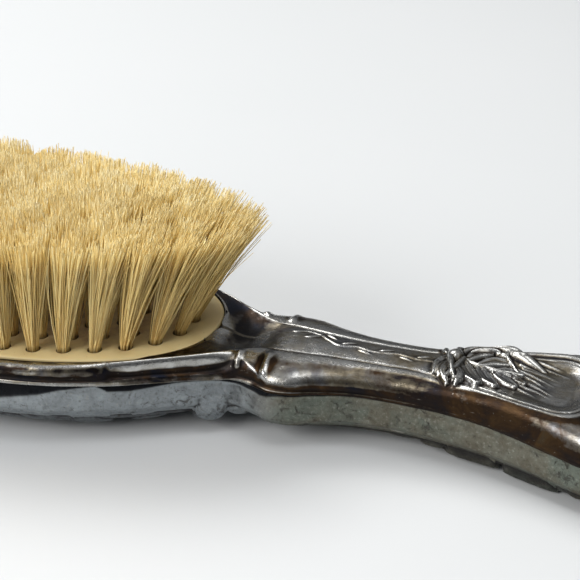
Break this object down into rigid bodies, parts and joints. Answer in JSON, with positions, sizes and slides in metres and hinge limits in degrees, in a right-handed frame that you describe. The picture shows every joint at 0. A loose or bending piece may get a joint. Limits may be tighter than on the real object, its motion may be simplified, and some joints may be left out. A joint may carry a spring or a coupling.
{
  "type": "vanity hairbrush",
  "caption": "Long-handled dressing-table hairbrush: two stamped metal shells round a drilled oval plate carrying fanned rows of natural bristle.",
  "frame": {"origin": "centre of the bounding box in X and Y, on the surface the back rests on", "axes": "+X from the head to the handle end, +Z out of the bristle side, +Y across"},
  "size_m": [0.21, 0.0568, 0.0408],
  "materials": {
    "silver_plate": "worn silver plate over brass, tarnished",
    "ivory_plate": "aged cream celluloid, satin",
    "boar_bristle": "natural blonde bristle",
    "stock_wood": "plain beech",
    "veneer": "thin veneer",
    "bedding_cement": "dry plaster cement",
    "draw_wire": "drawn wire"
  },
  "bodies": {
    "root": {"back_shell": "silver_plate", "face_frame": "silver_plate", "bristle_plate": "ivory_plate", "brush_stock": "stock_wood", "stock_cover": "veneer", "head_filler": "bedding_cement", "handle_filler": "bedding_cement", "tuft_row_near_1": "boar_bristle", "tuft_row_far_1": "boar_bristle", "tuft_row_near_2": "boar_bristle", "tuft_row_far_2": "boar_bristle", "tuft_row_near_3": "boar_bristle", "tuft_row_far_3": "boar_bristle", "tuft_row_near_4": "boar_bristle", "tuft_row_far_4": "boar_bristle", "tuft_row_middle": "boar_bristle", "draw_wire_near_1": "draw_wire", "draw_wire_far_1": "draw_wire", "draw_wire_near_2": "draw_wire", "draw_wire_far_2": "draw_wire", "draw_wire_near_3": "draw_wire", "draw_wire_far_3": "draw_wire", "draw_wire_near_4": "draw_wire", "draw_wire_far_4": "draw_wire", "draw_wire_middle": "draw_wire"}
  },
  "joints": []
}
